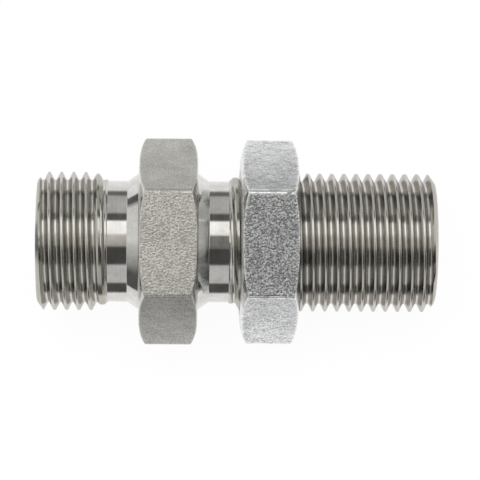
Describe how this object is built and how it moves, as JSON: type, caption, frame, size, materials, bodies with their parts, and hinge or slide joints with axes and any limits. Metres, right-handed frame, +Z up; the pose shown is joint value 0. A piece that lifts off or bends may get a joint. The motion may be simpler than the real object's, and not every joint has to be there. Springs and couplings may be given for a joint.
{
  "type": "bulkhead fitting",
  "caption": "Straight male threaded union that passes through a panel, with a hexagon on the body and a locknut on the long thread.",
  "frame": {"origin": "on the bore's axis, in the plane of the body hexagon's face that meets the panel", "axes": "+X along the bore towards the bulkhead end's free face, +Z up from the flats that the fitting lies on, +Y across the hexagon's corners"},
  "size_m": [0.0591, 0.0308, 0.027],
  "materials": {
    "body_steel": "satin plated steel, forged hexagon and turned necks and threads",
    "nut_steel": "bright zinc plated steel with a coarse sparkling grain"
  },
  "bodies": {
    "fitting": {"fitting_body": "body_steel"},
    "nut": {"locknut": "nut_steel"}
  },
  "joints": [
    {"name": "locknut_travel", "type": "slide", "parent": "fitting", "child": "nut", "axis": [1, 0, 0], "range_m": [-0.00544, 0.01995]}
  ]
}
